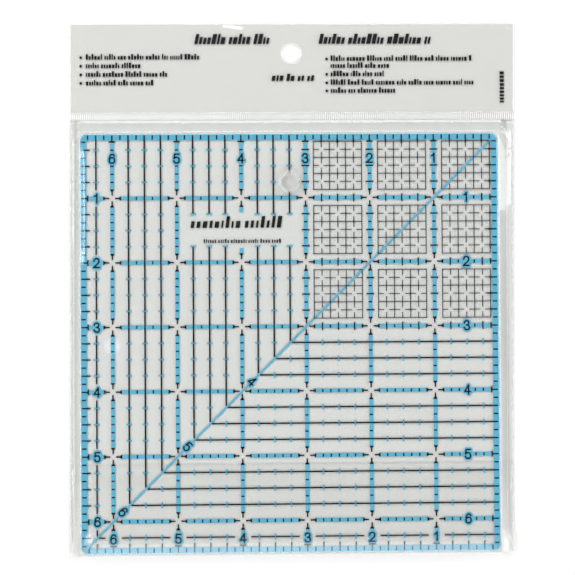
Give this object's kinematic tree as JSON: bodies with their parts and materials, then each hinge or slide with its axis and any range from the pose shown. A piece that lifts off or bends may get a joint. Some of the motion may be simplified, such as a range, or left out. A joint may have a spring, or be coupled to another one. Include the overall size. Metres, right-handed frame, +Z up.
{
  "type": "quilting ruler",
  "caption": "Square clear acrylic quilting ruler with an inch grid printed in two inks, in a clear hang-header bag with a fold-over adhesive flap.",
  "frame": {"origin": "middle of the whole footprint, bag included, on the surface that the object lies on", "axes": "+Z up out of the ruler's face, +Y from the bag's mouth to its hanging header, +X to the right as the numerals are read"},
  "size_m": [0.175, 0.211, 0.0036],
  "materials": {
    "acrylic": "clear cast acrylic sheet with polished faces and a broken edge",
    "blue_ink": "light blue screen-printed ink under the plate",
    "black_ink": "black screen-printed ink under the plate",
    "header_film": "slightly milky polypropylene film, smooth",
    "header_ink": "black printed rows",
    "sealed_film": "fused polypropylene, ribbed or beaded",
    "pouch_film": "clear thin polypropylene film, glossy, wrinkled at the corners",
    "adhesive": "clear pressure-sensitive adhesive"
  },
  "bodies": {
    "bag": {"header_back_film": "header_film", "header_front_film": "header_film", "header_print_ink": "header_ink", "heat_seal": "sealed_film", "pouch_back_film": "pouch_film", "pouch_front_film": "pouch_film", "right_side_weld": "sealed_film", "left_side_weld": "sealed_film", "flap_fold_film": "pouch_film"},
    "ruler": {"ruler_plate": "acrylic", "blue_ink_layer": "blue_ink", "black_ink_layer": "black_ink"},
    "flap": {"flap_film": "pouch_film", "adhesive_strip": "adhesive"}
  },
  "joints": [
    {"name": "ruler_slide", "type": "slide", "parent": "bag", "child": "ruler", "axis": [0, -1, 0], "range_m": [0, 0.21]},
    {"name": "flap_hinge", "type": "hinge", "parent": "bag", "child": "flap", "pos_m": [0, -0.10371, 0.00179], "axis": [-1, 0, 0], "range_deg": [0, 175], "deforming": ["flap_fold_film"]}
  ]
}
